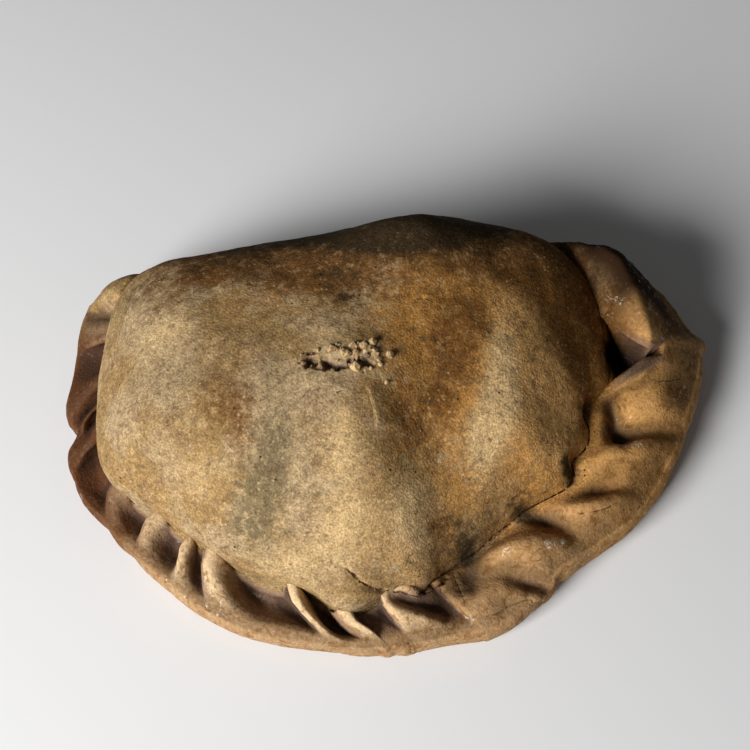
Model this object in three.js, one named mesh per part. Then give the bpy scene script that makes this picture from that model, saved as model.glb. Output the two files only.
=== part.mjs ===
// A half-moon spinach turnover: a domed body of dough, folded over along its back edge and closed along
// its left, front and right side by a crimp of overlapping pleats. It is one solid, in millimetres.
// The front is towards -Y, and the flat base rests on z = 0 with the middle of its outline at the origin.
import * as THREE from "three";

const { clamp, euclideanModulo, lerp, smoothstep } = THREE.MathUtils;

// Rows of values as objects with the given field names. A field left off the end of a row stays unset.
function table(names, rows) {
  return rows.map((row) => Object.fromEntries(row.map((value, k) => [names[k], value])));
}

// Height of the dome, and the place in plan of its highest point.
const DOME_HEIGHT = 46;
const APEX = new THREE.Vector2(-6, 6);

// Sixteen stations round the turnover: from the back left corner along the left side (0 to 2), the front
// (3 to 8) and the right side (9 to 12), then along the folded back edge (13 to 15).
// rim: place of the outer edge; seam: place where the dome meets the crimp, seamHeight its height;
// crest: height of the crimp beside the dome; lip: thickness of the crimp at its outer edge;
// swell: how far the crimp's face is arched; bulge: how far the dome stands out over the seam;
// slope: 0 for a box-like side of the dome, 1 for a round one; flare: 0 where the dome ends upright at the
// seam, 1 where it runs out in a slope; crimp: 1 where pleated, 0 where only folded.
const STATION_FIELDS = [
  "rim", "seam", "seamHeight", "crest", "lip", "swell", "bulge", "slope", "flare", "crimp",
];
const STATIONS = table(STATION_FIELDS, [
  [[-77, 43], [-65, 39], 15, 18, 9, 0, 1, 0.4, 0.1, 1],
  [[-81, 20], [-69, 16], 9.5, 11.5, 6, 0, 2.5, 0.35, 0, 1],
  [[-78, -6], [-66, -9], 9, 11, 6, 0, 2.5, 0.35, 0, 1],
  [[-62, -25], [-53, -20], 9, 11, 6, 0, 2, 0.5, 0.25, 1],
  [[-41, -42.5], [-35, -32], 9, 12, 6, 0.5, 2, 0.65, 0.45, 1],
  [[-18, -49], [-16, -38], 8.5, 13, 6, 1, 2, 0.7, 0.5, 1],
  [[4, -50.5], [2, -37.5], 9.5, 14, 6, 1.5, 1, 0.7, 0.5, 1],
  [[26, -46], [17, -30], 8, 12.5, 7, 2, 0, 0.7, 0.8, 1],
  [[45, -30.5], [33, -18.5], 12, 15.5, 8, 3, 0, 0.8, 0.9, 1],
  [[62, -17], [44, -12.5], 14.5, 18, 8, 3, 0, 0.9, 1, 1],
  [[74, 3], [49, -1], 16.5, 19.5, 9, 3, 0, 0.9, 1, 1],
  [[81, 27], [54, 14], 20, 25, 9, 6, 0, 0.9, 0.9, 1],
  [[65, 49.5], [48, 39.5], 27, 31, 9, 9, 0, 0.8, 0.8, 1],
  [[34, 57], [28, 53], 21, 25, 10, 4, 0, 0.55, 0.2, 0.2],
  [[-10, 56], [-10, 53], 12, 12, 5, 0, 0, 0.5, 0, 0],
  [[-50, 50], [-48, 47], 12, 12, 5, 0, 0, 0.55, 0, 0],
]);

// The pleats in order round the rim. Each runs from where the one before it ends to seamEnd on the seam and
// rimEnd on the rim, both in stations. lean: 1 where its ridge is at its end, -1 at its start, 0 for a bare
// hollow; scoop: depth of its hollow; ridge: rise of its ridge; roll: radius of the ridge's rolled lip;
// from, to: share of its width over which the hollow rises to the ridge, counted from the hollow's side;
// reach: share of the way out to the rim at which hollow and ridge die out; spread: how far it stands out.
// Two edges close early: they come together at that share of the way, round the open corner at the right.
const FIRST_EDGE = { seamEnd: -0.7, rimEnd: -0.7 };
const PLEAT_FIELDS = [
  "seamEnd", "rimEnd", "lean", "scoop", "ridge", "roll", "from", "to", "reach", "spread", "closes",
];
const PLEATS = table(PLEAT_FIELDS, [
  [0.3, 0.2, 1, 0, 8, 0.8, 0, 0.4, 1.2, -4],
  [0.5, 0.75, 1, 1, 0.5, 0.6, 0.1, 0.4, 0.9, 0],
  [0.85, 1.58, 1, 4, 1, 0.6, 0.3, 0.9, 1.05, 1],
  [1.12, 1.7, 1, 3.5, 1, 0.45, 0.3, 0.9, 0.98, 0],
  [1.43, 2.08, 1, 3, 1, 0.6, 0.1, 0.7, 0.9, 0.5],
  [2, 2.71, 0, 4, 0, 0, 0.6, 0.85, 1, 0.8],
  [2.8, 3.1, -1, 5, 1, 0.6, 0.3, 0.8, 0.9, 0.8],
  [3.34, 3.52, -1, 5.5, 0.5, 0.6, 0.3, 0.85, 0.9, 0.8],
  [3.54, 4, -1, 5, 0.5, 0.5, 0.3, 0.8, 0.9, 0.3],
  [4.55, 5.3, -1, 7, 1.5, 0.7, 0.5, 0.9, 0.85, 0.8],
  [5.12, 5.72, -1, 7, 1.5, 0.9, 0.35, 0.85, 0.85, 0.5],
  [5.3, 5.9, 1, 3, -1, 0.6, 0.2, 0.8, 0.85, 0.5],
  [5.75, 6.1, 0, 5, 0, 0, 0.6, 0.85, 0.85, 0.3],
  [6.48, 6.83, -1, 3, 2, 0.9, 0.1, 0.6, 0.9, -0.8],
  [10.82, 10.91, 1, 0, 0, 0.8, 0.9, 0.99, 0.6, 0.3, 0.33],
  [11.62, 11.02, 0, 18, 0, 0, 0.6, 0.85, 0.5, 0, 0.33],
  [13.2, 13.2, -1, 2, 4, 2, 0.1, 0.7, 0.6, 0],
]);
// The plain back edge has no pleats, so its columns use a pleat without any relief.
const BACK_EDGE = { lean: 1, scoop: 0, ridge: 0, roll: 0, from: 0.6, to: 0.85, reach: 0.9, spread: 0 };

// Share of a pleat's width at which its rolled lip begins, gap between two pleats in stations,
// depth of the groove along the seam and how far a ridge leans over that groove.
const ROLL_FROM = 0.86;
const PLEAT_GAP = 0.03;
const GROOVE_DEPTH = 1;
const RIDGE_OVERHANG = 1.8;
const THINNEST = 2;

// The crimp's inner wall and its face end at these shares of the way from the seam to the rim, the wall later
// where the dome runs out in a slope; the edge then turns down to a share of the lip's thickness and tucks
// under by a few millimetres.
const WALL_END = 0.14;
const GENTLE_WALL = 0.24;
const FACE_END = 0.9;
const EDGE_HEIGHT_SHARE = 0.45;
const EDGE_TUCK = 5;

// Local shifts of the seam and the rim, outward: station, half width in stations, distance.
// The dome hangs over the crimp as a tongue at the front, and lobes of the crimp reach into it at the right;
// the rim has two nicks and a torn corner.
const SEAM_SHIFTS = [
  { at: 5.4, halfWidth: 0.38, by: 4.5 },
  { at: 6.3, halfWidth: 0.25, by: 1.5 },
  { at: 9.4, halfWidth: 0.25, by: -2.5 },
  { at: 10.42, halfWidth: 0.28, by: -4.5 },
];
const RIM_SHIFTS = [
  { at: 1.57, halfWidth: 0.13, by: -2.7 },
  { at: 7.75, halfWidth: 0.08, by: -1 },
  { at: 11.05, halfWidth: 0.1, by: 2 },
];

// Swellings and hollows of the dome, then the pressed creases of the crimp; a crease of negative depth is the
// raised back of a lobe between two creases.
const DOME_LUMPS = [
  { x: -9, y: -12, halfX: 9, halfY: 26, rise: 1.5 },
  { x: 11, y: -14, halfX: 9, halfY: 26, rise: -2.5 },
  { x: 31, y: 2, halfX: 12, halfY: 26, rise: 2.5 },
  { x: 6, y: 44, halfX: 16, halfY: 16, rise: 8 },
  { x: -45, y: 38, halfX: 26, halfY: 16, rise: -2.5 },
  { x: 42, y: 46, halfX: 14, halfY: 12, rise: 6 },
];
const CRIMP_DENTS = [
  { x: 6.6, y: -41.2, halfLength: 7, halfWidth: 2.2, turn: -10, depth: 5 },
  { x: 32.6, y: -35.5, halfLength: 5.5, halfWidth: 2.2, turn: -9, depth: 3.5 },
  { x: 35.5, y: -20.2, halfLength: 8, halfWidth: 2.6, turn: -29, depth: 5.5 },
  { x: 49, y: -14.2, halfLength: 7, halfWidth: 1.8, turn: 5, depth: 3.5 },
  { x: 58.5, y: 0.2, halfLength: 12, halfWidth: 2.2, turn: 10, depth: 4.5 },
  { x: 54.8, y: 3.5, halfLength: 7, halfWidth: 3, turn: -75, depth: 5 },
  { x: 51, y: 31, halfLength: 9, halfWidth: 2.5, turn: 90, depth: 7 },
  { x: 19, y: -33, halfLength: 5, halfWidth: 3, turn: 55, depth: 3 },
  { x: 29, y: -29, halfLength: 11, halfWidth: 4, turn: 3, depth: -4 },
  { x: 46, y: -19.5, halfLength: 8, halfWidth: 2.6, turn: 12, depth: -3 },
  { x: 53, y: -6.5, halfLength: 12, halfWidth: 3.6, turn: 12, depth: -4 },
  { x: 66, y: 7, halfLength: 9, halfWidth: 6, turn: 15, depth: -2.5 },
];

// Share of the dome's radius within which its columns are evenly spaced.
const EVEN_RADIUS = 0.3;

// Fineness of the surface: columns to a station's width of pleat, the fewest on a pleat's slope, round its
// rolled lip, in a bare hollow and along the back edge; then the rows of each band.
const STATION_COLUMNS = 10;
const SLOPE_COLUMNS = 4;
const ROLL_COLUMNS = 3;
const HOLLOW_COLUMNS = 4;
const BACK_COLUMNS = 20;
const DOME_ROWS = 10;
const WALL_ROWS = 3;
const FACE_ROWS = 8;
const EDGE_ROWS = 3;

// Smooth closed interpolation of a station's value at a place between two stations.
function around(pick, at) {
  const first = Math.floor(at);
  const f = at - first;
  const [a, b, c, d] = [-1, 0, 1, 2].map((k) => pick(STATIONS[euclideanModulo(first + k, STATIONS.length)]));
  return b + 0.5 * f * (c - a + f * (2 * a - 5 * b + 4 * c - d + f * (3 * (b - c) + d - a)));
}

function curvePoint(name, at) {
  return new THREE.Vector2(
    around((station) => station[name][0], at),
    around((station) => station[name][1], at),
  );
}

// The average of a value over the neighbourhood of a place, which rounds off the corners of a curve.
const SOFT_REACH = 1.6;
const SOFT_SAMPLES = [-1, -0.75, -0.5, -0.25, 0, 0.25, 0.5, 0.75, 1];
const SOFT_FADE = Math.PI / 2.4;

function softened(valueAt, at) {
  const weights = SOFT_SAMPLES.map((step) => Math.cos(step * SOFT_FADE));
  const total = weights.reduce((sum, weight) => sum + weight, 0);
  const sum = SOFT_SAMPLES.reduce((so, step, k) => so + weights[k] * valueAt(at + SOFT_REACH * step), 0);
  return sum / total;
}

function outwardFrom(point) {
  return point.clone().sub(APEX).normalize();
}

function shiftAt(shifts, at) {
  const bump = (shift) => shift.by * Math.exp(-(((at - shift.at) / shift.halfWidth) ** 2));
  return shifts.reduce((sum, shift) => sum + bump(shift), 0);
}

function seamPoint(at) {
  const point = curvePoint("seam", at);
  return point.addScaledVector(outwardFrom(point), shiftAt(SEAM_SHIFTS, at));
}

function rimPoint(at, spread) {
  const point = curvePoint("rim", at);
  return point.addScaledVector(outwardFrom(point), shiftAt(RIM_SHIFTS, at) + spread * crimpShare(at));
}

function crimpShare(at) {
  return clamp(around((station) => station.crimp, at), 0, 1);
}

function domeLumps(point) {
  return DOME_LUMPS.reduce((sum, lump) => {
    const x = (point.x - lump.x) / lump.halfX;
    const y = (point.y - lump.y) / lump.halfY;
    return sum + lump.rise * Math.exp(-x * x - y * y);
  }, 0);
}

function crimpDents(point) {
  return CRIMP_DENTS.reduce((sum, dent) => {
    const turn = THREE.MathUtils.degToRad(dent.turn);
    const x = point.x - dent.x;
    const y = point.y - dent.y;
    const along = (x * Math.cos(turn) + y * Math.sin(turn)) / dent.halfLength;
    const across = (y * Math.cos(turn) - x * Math.sin(turn)) / dent.halfWidth;
    return sum + dent.depth * Math.exp(-along * along - across * across);
  }, 0);
}

// Places across a pleat from its start (0) to its end (1), closer together round its rolled lip.
function placesAcross(lean, width) {
  if (lean === 0) {
    return Array.from({ length: HOLLOW_COLUMNS }, (_, k) => k / (HOLLOW_COLUMNS - 1));
  }
  const slope = Math.max(SLOPE_COLUMNS, Math.round(STATION_COLUMNS * width));
  const places = Array.from({ length: slope }, (_, k) => (ROLL_FROM * k) / slope);
  for (let k = 0; k < ROLL_COLUMNS; k += 1) {
    places.push(lerp(ROLL_FROM, 1, k / (ROLL_COLUMNS - 1)));
  }
  return lean > 0 ? places : places.map((place) => 1 - place).reverse();
}

// One column of the surface for each place across each pleat, then those of the plain back edge.
// Round the top of the dome the columns are spaced evenly, at their evenStation.
function makeColumns() {
  const columns = [];
  let start = FIRST_EDGE;
  for (const pleat of PLEATS) {
    const width = pleat.seamEnd - start.seamEnd;
    const gap = PLEAT_GAP / width;
    for (const place of placesAcross(pleat.lean, width)) {
      const toRidge = { 1: place, 0: 0, "-1": 1 - place }[pleat.lean];
      const spread = pleat.spread * (0.3 + 0.7 * Math.sin(Math.PI * place));
      columns.push({ pleat, start, end: pleat, share: gap / 2 + place * (1 - gap), toRidge, spread });
    }
    start = pleat;
  }
  const end = {
    seamEnd: FIRST_EDGE.seamEnd + STATIONS.length,
    rimEnd: FIRST_EDGE.rimEnd + STATIONS.length,
  };
  for (let k = 1; k <= BACK_COLUMNS; k += 1) {
    const share = k / (BACK_COLUMNS + 1);
    columns.push({ pleat: BACK_EDGE, start, end, share, toRidge: BACK_EDGE.from / 2, spread: 0 });
  }
  columns.forEach((column, k) => {
    column.evenStation = FIRST_EDGE.seamEnd + ((k + 0.5) / columns.length) * STATIONS.length;
  });
  return columns;
}

// Station of a pleat's edge at a share of the way from the seam to the rim.
function edgeStation(edge, way) {
  return lerp(edge.seamEnd, edge.rimEnd, edge.closes ? smoothstep(way, 0, edge.closes) : way);
}

function stationOf(column, way) {
  return lerp(edgeStation(column.start, way), edgeStation(column.end, way), column.share);
}

// A point of the dome: turn runs from 0 at its top to a right angle at the seam.
function domePoint(column, turn) {
  const radius = Math.sin(turn);
  const at = lerp(column.evenStation, stationOf(column, 0), smoothstep(radius, EVEN_RADIUS, 1));
  const slope = softened((place) => around((station) => station.slope, place), at);
  const flare = clamp(around((station) => station.flare, at), 0, 1);
  const fall = Math.max(1 - slope * radius ** 2 - (1 - slope) * radius ** 6, 0);
  const rise = lerp(Math.sqrt(fall), fall, flare);
  const sharp = curvePoint("seam", at);
  const soft = new THREE.Vector2(
    softened((place) => curvePoint("seam", place).x, at),
    softened((place) => curvePoint("seam", place).y, at),
  );
  const outline = soft.lerp(sharp, smoothstep(radius, 0.4, 0.95));
  const overSeam = Math.exp(-(((rise - 0.25) / 0.2) ** 2)) * smoothstep(rise, 0, 0.15);
  const bulge = around((station) => station.bulge, at) * overSeam;
  const tongue = shiftAt(SEAM_SHIFTS, at) * smoothstep(radius, 0.9, 1);
  const point = APEX.clone().lerp(outline, radius);
  point.addScaledVector(outwardFrom(sharp), tongue + bulge * smoothstep(radius, 0.7, 0.95));
  const seamHeight = around((station) => station.seamHeight, at);
  const height = lerp(seamHeight, DOME_HEIGHT, rise) + domeLumps(point) * (1 - radius ** 8);
  return new THREE.Vector3(point.x, point.y, height);
}

// A point of the crimp at a share of the way from the seam to the rim.
function crimpPoint(column, way) {
  const { lean, scoop, ridge, roll, from, to, reach } = column.pleat;
  const at = stationOf(column, way);
  const value = (name) => around((station) => station[name], at);
  const crimp = crimpShare(at);
  const seam = seamPoint(at);
  const side = rimPoint(at, column.spread).sub(seam);
  const outward = side.clone().normalize();
  const along = new THREE.Vector2(-outward.y, outward.x).multiplyScalar(lean);

  const gentle = clamp(2 * value("flare") - 1, 0, 1);
  const wall = smoothstep(way, 0, WALL_END + GENTLE_WALL * gentle);
  const ridgeFade = 1 - smoothstep(way / reach, 0.4, 1.1);
  const scoopFade = 1 - smoothstep(way / reach, 0.25, 1);
  const onRidge = smoothstep(column.toRidge, from, to);
  const inScoop = 1 - smoothstep(column.toRidge, from - 0.12, to);
  const rollTurn = Math.PI * clamp((column.toRidge - ROLL_FROM) / (1 - ROLL_FROM), 0, 1);

  const point = seam.clone().addScaledVector(side, way);
  const rollOut = 0.8 * smoothstep(column.toRidge, 0.5, ROLL_FROM) + Math.sin(rollTurn);
  point.addScaledVector(along, roll * rollOut * ridgeFade * wall * crimp);
  point.addScaledVector(outward, -RIDGE_OVERHANG * crimp * onRidge * Math.exp(-(((way - 0.1) / 0.12) ** 2)));

  const arch = value("swell") * Math.sin(Math.PI * way) * lerp(1, onRidge, ridgeFade);
  const raised = (ridge * onRidge - roll * (1 - Math.cos(rollTurn))) * ridgeFade;
  const sunk = scoop * inScoop * scoopFade + crimpDents(point);
  const face = Math.max(lerp(value("crest"), value("lip"), way) + arch + raised - sunk, THINNEST);
  const seamHeight = value("seamHeight");
  const groove = GROOVE_DEPTH * crimp * (1 - gentle);
  const pleated = lerp(seamHeight - groove, face, wall);
  const folded = lerp(seamHeight, 0.8 * value("lip"), way);
  return new THREE.Vector3(point.x, point.y, lerp(folded, pleated, crimp));
}

// The edge turns over to the rim, then under to the base: quarter is 0 to 1 for either turn.
function edgeOverPoint(column, quarter) {
  const turn = (quarter * Math.PI) / 2;
  const top = crimpPoint(column, FACE_END);
  const rim = rimPoint(stationOf(column, 1), column.spread);
  const point = new THREE.Vector2(top.x, top.y).lerp(rim, Math.sin(turn));
  return new THREE.Vector3(point.x, point.y, top.z * lerp(EDGE_HEIGHT_SHARE, 1, Math.cos(turn)));
}

function edgeUnderPoint(column, quarter) {
  const turn = (quarter * Math.PI) / 2;
  const rim = edgeOverPoint(column, 1);
  const point = new THREE.Vector2(rim.x, rim.y);
  point.addScaledVector(outwardFrom(point), -EDGE_TUCK * (1 - Math.cos(turn)));
  return new THREE.Vector3(point.x, point.y, quarter < 1 ? rim.z * (1 - Math.sin(turn)) : 0);
}

// The steps 1/count, 2/count ... 1, stretched over a range.
function steps(count, from, to) {
  return Array.from({ length: count }, (_, k) => lerp(from, to, (k + 1) / count));
}

// The rows of points from under the top of the dome down to the foot of the edge.
function makeRows(columns) {
  const bands = [
    [domePoint, steps(DOME_ROWS, 0, Math.PI / 2)],
    [crimpPoint, steps(WALL_ROWS, 0, WALL_END)],
    [crimpPoint, steps(FACE_ROWS, WALL_END, FACE_END)],
    [edgeOverPoint, steps(EDGE_ROWS, 0, 1)],
    [edgeUnderPoint, steps(EDGE_ROWS, 0, 1)],
  ];
  return bands.flatMap(([pointOf, places]) =>
    places.map((place) => columns.map((column) => pointOf(column, place))));
}

// A closed surface: a fan round the top, bands of triangles between the rows, and a fan under the base.
function turnoverGeometry() {
  const columns = makeColumns();
  const rows = makeRows(columns);
  const width = columns.length;
  const last = rows.length - 1;
  const top = rows.length * width;
  const foot = top + 1;
  const points = [
    ...rows.flat(),
    new THREE.Vector3(APEX.x, APEX.y, DOME_HEIGHT + domeLumps(APEX)),
    new THREE.Vector3(APEX.x, APEX.y, 0),
  ];
  const triangles = [];
  for (let i = 0; i < width; i += 1) {
    const j = (i + 1) % width;
    triangles.push(top, i, j);
    for (let row = 0; row < last; row += 1) {
      const [a, b] = [row * width + i, row * width + j];
      triangles.push(a, a + width, b + width, a, b + width, b);
    }
    triangles.push(foot, last * width + j, last * width + i);
  }
  const geometry = new THREE.BufferGeometry().setFromPoints(points);
  geometry.setIndex(triangles);
  geometry.computeBoundingBox();
  const middle = geometry.boundingBox.getCenter(new THREE.Vector3());
  geometry.translate(-middle.x, -middle.y, 0);
  geometry.computeVertexNormals();
  return geometry;
}

const crust = new THREE.MeshStandardMaterial({ color: 0x9a7445, roughness: 0.7, metalness: 0 });
const turnover = new THREE.Mesh(turnoverGeometry(), crust);
turnover.name = "turnover";

const model = new THREE.Group();
model.add(turnover);

export default model;
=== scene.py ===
"""The looks of the spinach turnover: its surface at full fineness, with crust, cracks, crumbs and light."""
import math
from types import SimpleNamespace

import bpy
import numpy as np
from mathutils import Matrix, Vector, noise


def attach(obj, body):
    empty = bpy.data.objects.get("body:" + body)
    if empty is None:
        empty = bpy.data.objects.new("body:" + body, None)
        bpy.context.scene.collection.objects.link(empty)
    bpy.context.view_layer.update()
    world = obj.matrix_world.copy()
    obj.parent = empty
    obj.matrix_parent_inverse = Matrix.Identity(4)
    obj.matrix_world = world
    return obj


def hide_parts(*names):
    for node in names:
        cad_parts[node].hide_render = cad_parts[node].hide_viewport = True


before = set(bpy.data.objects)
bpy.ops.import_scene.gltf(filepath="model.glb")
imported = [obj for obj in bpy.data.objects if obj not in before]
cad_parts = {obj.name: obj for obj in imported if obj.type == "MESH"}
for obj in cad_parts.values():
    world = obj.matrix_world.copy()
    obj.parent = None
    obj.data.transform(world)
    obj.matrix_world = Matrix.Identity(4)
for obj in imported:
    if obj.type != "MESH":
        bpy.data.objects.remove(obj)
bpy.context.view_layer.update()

# Shapes are drawn in millimetres, in the drawing frame of the solid, and moved to the shared frame last.
MM = 0.001

# Height of the dome, and the place in plan of its highest point.
DOME_HEIGHT = 46
APEX = np.array([-6.0, 6.0])

# Sixteen stations round the turnover: left side (0 to 2), front (3 to 8), right side (9 to 12) and folded
# back edge (13 to 15). rim: place of the outer edge; seam: place and height where the dome meets the crimp;
# crest: height of the crimp beside the dome; lip: its thickness at the rim; swell: how far its face is
# arched; bulge: how far the dome stands out over the seam; slope: 0 for a box-like side of the dome, 1 for
# a round one; flare: 0 where the dome ends upright, 1 where it runs out in a slope; crimp: 1 where pleated,
# 0 where only folded.
STATION_FIELDS = (
    "rim_x", "rim_y", "seam_x", "seam_y", "seam_height", "crest", "lip", "swell", "bulge", "slope", "flare",
    "crimp",
)
STATIONS = np.array([
    (-77, 43, -65, 39, 15, 18, 9, 0, 1, 0.4, 0.1, 1),
    (-81, 20, -69, 16, 9.5, 11.5, 6, 0, 2.5, 0.35, 0, 1),
    (-78, -6, -66, -9, 9, 11, 6, 0, 2.5, 0.35, 0, 1),
    (-62, -25, -53, -20, 9, 11, 6, 0, 2, 0.5, 0.25, 1),
    (-41, -42.5, -35, -32, 9, 12, 6, 0.5, 2, 0.65, 0.45, 1),
    (-18, -49, -16, -38, 8.5, 13, 6, 1, 2, 0.7, 0.5, 1),
    (4, -50.5, 2, -37.5, 9.5, 14, 6, 1.5, 1, 0.7, 0.5, 1),
    (26, -46, 17, -30, 8, 12.5, 7, 2, 0, 0.7, 0.8, 1),
    (45, -30.5, 33, -18.5, 12, 15.5, 8, 3, 0, 0.8, 0.9, 1),
    (62, -17, 44, -12.5, 14.5, 18, 8, 3, 0, 0.9, 1, 1),
    (74, 3, 49, -1, 16.5, 19.5, 9, 3, 0, 0.9, 1, 1),
    (81, 27, 54, 14, 20, 25, 9, 6, 0, 0.9, 0.9, 1),
    (65, 49.5, 48, 39.5, 27, 31, 9, 9, 0, 0.8, 0.8, 1),
    (34, 57, 28, 53, 21, 25, 10, 4, 0, 0.55, 0.2, 0.2),
    (-10, 56, -10, 53, 12, 12, 5, 0, 0, 0.5, 0, 0),
    (-50, 50, -48, 47, 12, 12, 5, 0, 0, 0.55, 0, 0),
], float)

# The pleats in order round the rim: each ends at a station on the seam and one on the rim. lean: 1 where
# its ridge is at its end, -1 at its start, 0 for a bare hollow; scoop: depth of its hollow; ridge: rise of
# its ridge; roll: radius of the ridge's rolled lip; low, high: share of its width over which the hollow
# rises to the ridge; reach: share of the way to the rim at which both die out; spread: how far it stands
# out; closes: share of the way at which its end has come to its station on the rim, or 0 where that takes
# the whole way.
FIRST_EDGE = -0.7
PLEAT_FIELDS = (
    "seam_end", "rim_end", "lean", "scoop", "ridge", "roll", "low", "high", "reach", "spread", "closes",
)
PLEATS = np.array([
    (0.3, 0.2, 1, 0, 8, 0.8, 0, 0.4, 1.2, -4, 0),
    (0.5, 0.75, 1, 1, 0.5, 0.6, 0.1, 0.4, 0.9, 0, 0),
    (0.85, 1.58, 1, 4, 1, 0.6, 0.3, 0.9, 1.05, 1, 0),
    (1.12, 1.7, 1, 3.5, 1, 0.45, 0.3, 0.9, 0.98, 0, 0),
    (1.43, 2.08, 1, 3, 1, 0.6, 0.1, 0.7, 0.9, 0.5, 0),
    (2, 2.71, 0, 4, 0, 0, 0.6, 0.85, 1, 0.8, 0),
    (2.8, 3.1, -1, 5, 1, 0.6, 0.3, 0.8, 0.9, 0.8, 0),
    (3.34, 3.52, -1, 5.5, 0.5, 0.6, 0.3, 0.85, 0.9, 0.8, 0),
    (3.54, 4, -1, 5, 0.5, 0.5, 0.3, 0.8, 0.9, 0.3, 0),
    (4.55, 5.3, -1, 7, 1.5, 0.7, 0.5, 0.9, 0.85, 0.8, 0),
    (5.12, 5.72, -1, 7, 1.5, 0.9, 0.35, 0.85, 0.85, 0.5, 0),
    (5.3, 5.9, 1, 3, -1, 0.6, 0.2, 0.8, 0.85, 0.5, 0),
    (5.75, 6.1, 0, 5, 0, 0, 0.6, 0.85, 0.85, 0.3, 0),
    (6.48, 6.83, -1, 3, 2, 0.9, 0.1, 0.6, 0.9, -0.8, 0),
    (10.82, 10.91, 1, 0, 0, 0.8, 0.9, 0.99, 0.6, 0.3, 0.33),
    (11.62, 11.02, 0, 18, 0, 0, 0.6, 0.85, 0.5, 0, 0.33),
    (13.2, 13.2, -1, 2, 4, 2, 0.1, 0.7, 0.6, 0, 0),
], float)

# The plain back edge has no pleats, so its columns use a pleat without any relief.
BACK_EDGE = (15.3, 15.3, 1, 0, 0, 0, 0.6, 0.85, 0.9, 0, 0)

# Share of a pleat's width at which its rolled lip begins, gap between two pleats in stations, depth of
# the groove along the seam, how far a ridge leans over it, and the least height of the crimp's face.
ROLL_FROM = 0.86
PLEAT_GAP = 0.03
GROOVE_DEPTH = 1
RIDGE_OVERHANG = 1.8
THINNEST = 2

# The crimp's inner wall and its face end at these shares of the way from the seam to the rim, the wall
# later where the dome runs out in a slope; the edge then turns down to a share of its height and tucks
# under.
WALL_END = 0.14
GENTLE_WALL = 0.24
FACE_END = 0.9
EDGE_HEIGHT_SHARE = 0.45
EDGE_TUCK = 5

# Share of the dome's radius within which its columns are evenly spaced; reach in stations, number of
# samples and fade of the average that rounds off the corners of a curve.
EVEN_RADIUS = 0.3
SOFT_REACH = 1.6
SOFT_SAMPLES = 9
SOFT_FADE = math.pi / 2.4

# Shifts of the seam and the rim: station, half width in stations, distance outward.
SEAM_SHIFTS = ((5.4, 0.38, 4.5), (6.3, 0.25, 1.5), (9.4, 0.25, -2.5), (10.42, 0.28, -4.5))
RIM_SHIFTS = ((1.57, 0.13, -2.7), (7.75, 0.08, -1), (11.05, 0.1, 2))

# Swellings and hollows of the dome: x, y, half width, half depth, turn in degrees, rise.
DOME_LUMPS = (
    (-9, -12, 9, 26, 0, 1.5),
    (11, -14, 9, 26, 0, -2.5),
    (31, 2, 12, 26, 0, 2.5),
    (6, 44, 16, 16, 0, 8),
    (-45, 38, 26, 16, 0, -2.5),
    (42, 46, 14, 12, 0, 6),
)

# Pressed creases of the crimp, with their depth last; a negative one is the raised back of a lobe.
CRIMP_DENTS = (
    (6.6, -41.2, 7, 2.2, -10, 5),
    (32.6, -35.5, 5.5, 2.2, -9, 3.5),
    (35.5, -20.2, 8, 2.6, -29, 5.5),
    (49, -14.2, 7, 1.8, 5, 3.5),
    (58.5, 0.2, 12, 2.2, 10, 4.5),
    (54.8, 3.5, 7, 3, -75, 5),
    (51, 31, 9, 2.5, 90, 7),
    (19, -33, 5, 3, 55, 3),
    (29, -29, 11, 4, 3, -4),
    (46, -19.5, 8, 2.6, 12, -3),
    (53, -6.5, 12, 3.6, 12, -4),
    (66, 7, 9, 6, 15, -2.5),
)

# Fineness: columns to a station's width of pleat, round a rolled lip, in a hollow and along the back edge;
# all the columns are a multiple of a group. Then the turn up to which the rings round the top have half as
# many columns, the rings of each band, and those of the base as shares of its outline.
STATION_COLUMNS = 22
ROLL_COLUMNS = 9
HOLLOW_COLUMNS = 14
BACK_COLUMNS = 60
COLUMN_GROUP = 8
TOP_TURN = 0.27
TOP_RINGS = 44
DOME_RINGS = 84
WALL_RINGS = 8
FACE_RINGS = 30
EDGE_RINGS = 7
BASE_RINGS = (0.97, 0.9, 0.75, 0.5, 0.25)

# Distance from the seam that is given to points nowhere near it.
FAR = 99

# Depth at which a scoop has its full colour: scoops grow russet and then near-black with depth, partly crust
# colour and partly painted shade.
FULL_SCOOP = 8


def ease(x, low, high):
    """A smooth rise from 0 at the low value to 1 at the high one."""
    t = np.clip((x - low) / (high - low), 0, 1)
    return t * t * (3 - 2 * t)


def around(field, at):
    """Smooth closed interpolation of a station's value at places between the stations."""
    values = STATIONS[:, STATION_FIELDS.index(field)]
    first = np.floor(at).astype(int)
    f = at - first
    a, b, c, d = (values[(first + k) % len(values)] for k in (-1, 0, 1, 2))
    return b + 0.5 * f * (c - a + f * (2 * a - 5 * b + 4 * c - d + f * (3 * (b - c) + d - a)))


def curve(name, at):
    return np.column_stack([around(name + "_x", at), around(name + "_y", at)])


def softened(value_at, at):
    """The average of a value over the neighbourhood of each place, which rounds off a curve's corners."""
    steps = np.linspace(-1, 1, SOFT_SAMPLES)
    weights = np.cos(steps * SOFT_FADE)
    return sum(w * value_at(at + SOFT_REACH * s) for s, w in zip(steps, weights)) / weights.sum()


def outward_from_apex(points):
    away = points - APEX
    return away / np.linalg.norm(away, axis=1, keepdims=True)


def shift_at(shifts, at):
    return sum(by * np.exp(-((at - place) / wide) ** 2) for place, wide, by in shifts)


def crimp_share(at):
    return np.clip(around("crimp", at), 0, 1)


def seam_points(at):
    points = curve("seam", at)
    return points + outward_from_apex(points) * shift_at(SEAM_SHIFTS, at)[:, None]


def rim_points(at, spread):
    points = curve("rim", at)
    by = shift_at(RIM_SHIFTS, at) + spread * crimp_share(at)
    return points + outward_from_apex(points) * by[:, None]


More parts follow.
